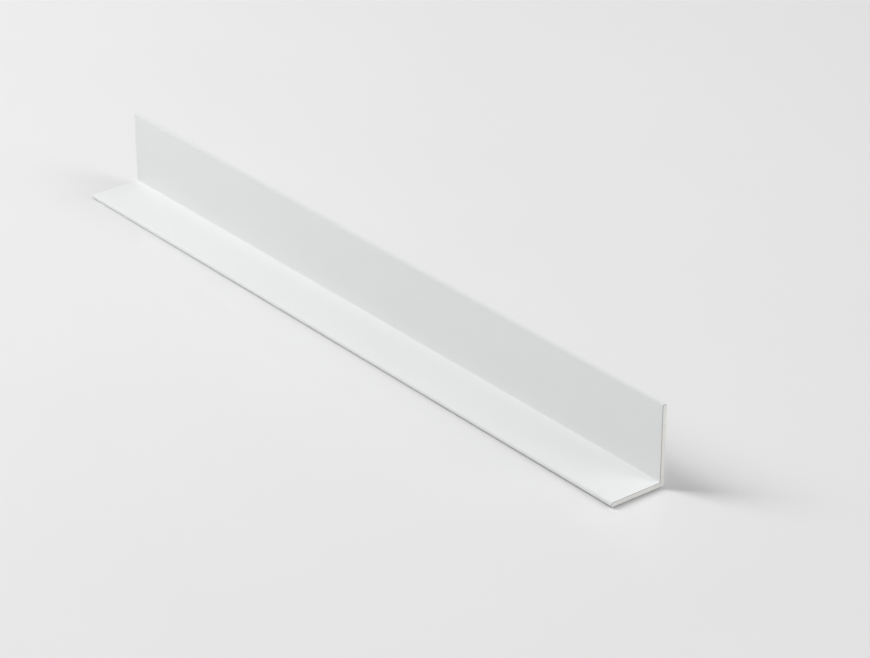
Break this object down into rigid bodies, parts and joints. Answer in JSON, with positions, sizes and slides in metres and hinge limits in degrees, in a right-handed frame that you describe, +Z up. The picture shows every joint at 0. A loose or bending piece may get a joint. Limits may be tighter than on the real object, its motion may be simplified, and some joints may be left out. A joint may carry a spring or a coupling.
{
  "type": "unequal angle trim profile",
  "caption": "Straight aluminium L angle with unequal thin legs and a white coating, sawn square to length, used as edge and corner trim.",
  "frame": {"origin": "on the floor, under the middle of the profile's box", "axes": "+X along the length, +Y from the tip of the flat leg to the back of the upright leg, +Z up"},
  "size_m": [0.2, 0.015, 0.02],
  "materials": {
    "white_coating": "satin"
  },
  "bodies": {
    "root": {"angle_profile": "white_coating"}
  },
  "joints": []
}
